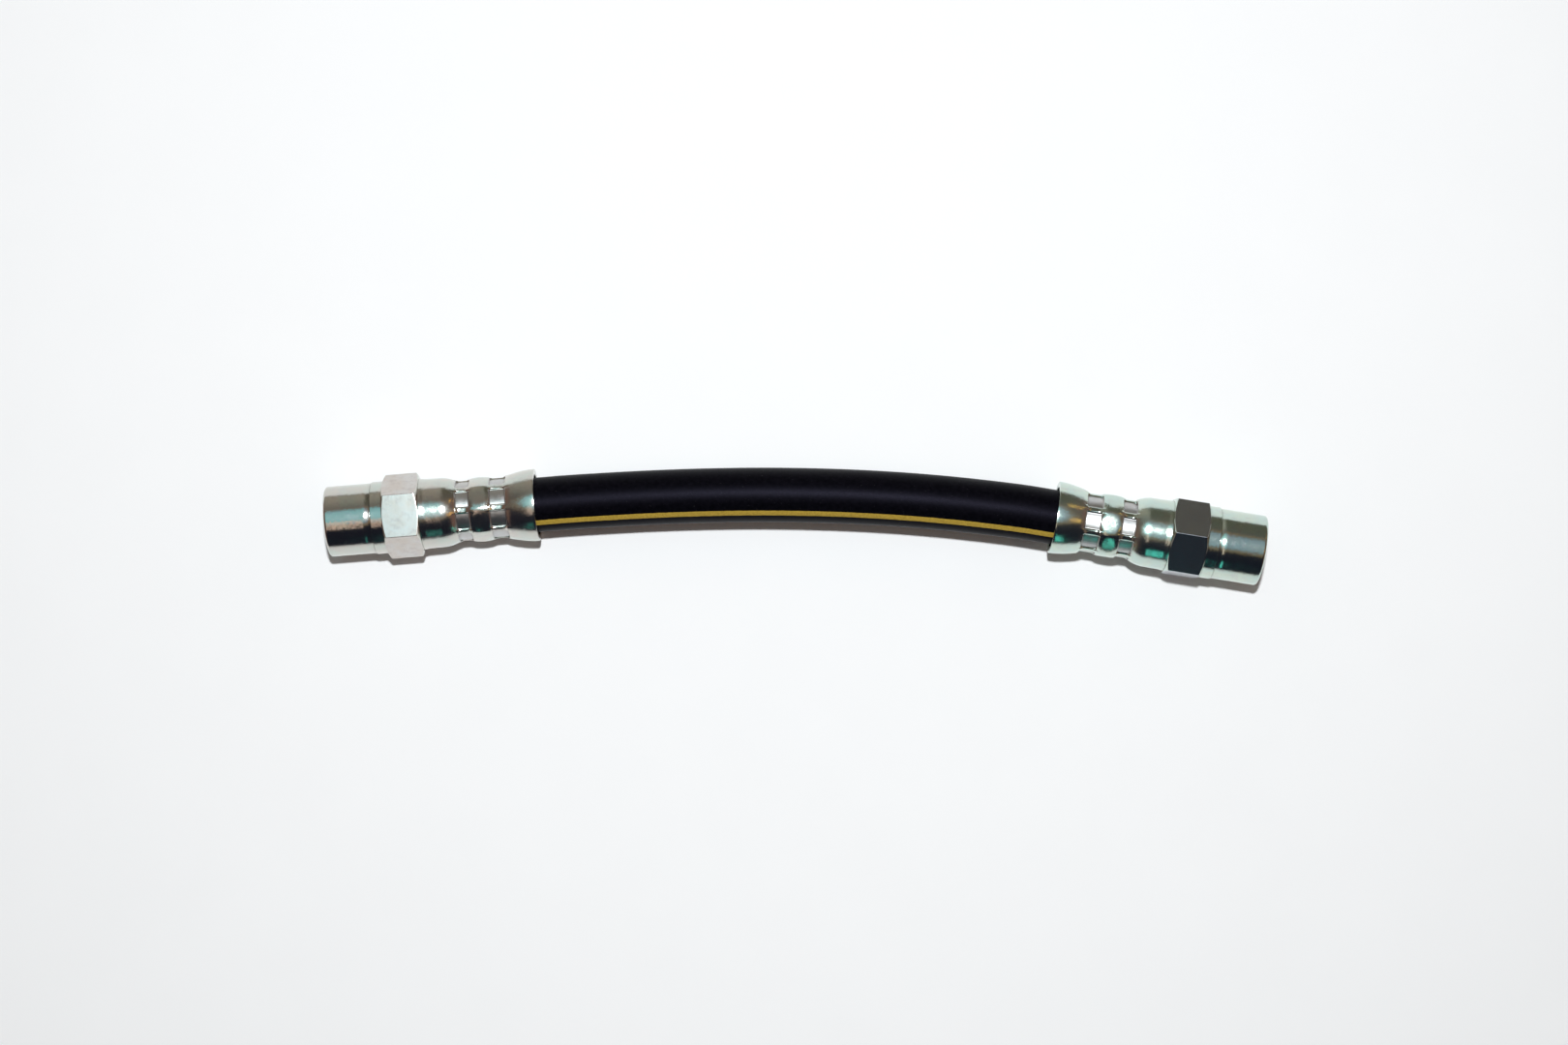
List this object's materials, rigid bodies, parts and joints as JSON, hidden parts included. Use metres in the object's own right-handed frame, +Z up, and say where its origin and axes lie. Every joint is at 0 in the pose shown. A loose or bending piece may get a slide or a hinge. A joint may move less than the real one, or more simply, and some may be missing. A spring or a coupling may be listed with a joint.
{
  "type": "brake hose",
  "caption": "Short rubber brake hose with a crimped steel fitting at each end, each with a hexagon for a spanner and a female thread for a brake pipe's nut.",
  "frame": {"origin": "on the surface that the part lies on, under the middle of the box of its two fittings", "axes": "+X along the hose from the left fitting to the right one, +Y towards the outside of the hose's slight bow, +Z up from the surface"},
  "size_m": [0.1805, 0.0225, 0.0161],
  "materials": {
    "zinc_plated_steel": "zinc plated and passivated, bright, with a faint green, copper and teal tint and fine sparkle",
    "insert_steel": "turned steel, dull",
    "liner_rubber": "smooth extruded rubber, black",
    "braid_yarn": "braided textile yarn, undyed cream, set in rubber",
    "cushion_rubber": "thin rubber layer, black, matt",
    "cover_rubber": "weather-proof rubber, black with a soft sheen, with one thin yellow stripe along it"
  },
  "bodies": {
    "root": {"left_fitting": "zinc_plated_steel", "right_fitting": "zinc_plated_steel", "left_insert": "insert_steel", "right_insert": "insert_steel", "hose_liner": "liner_rubber", "inner_braid": "braid_yarn", "cushion_layer": "cushion_rubber", "outer_braid": "braid_yarn", "hose_cover": "cover_rubber"}
  },
  "joints": []
}
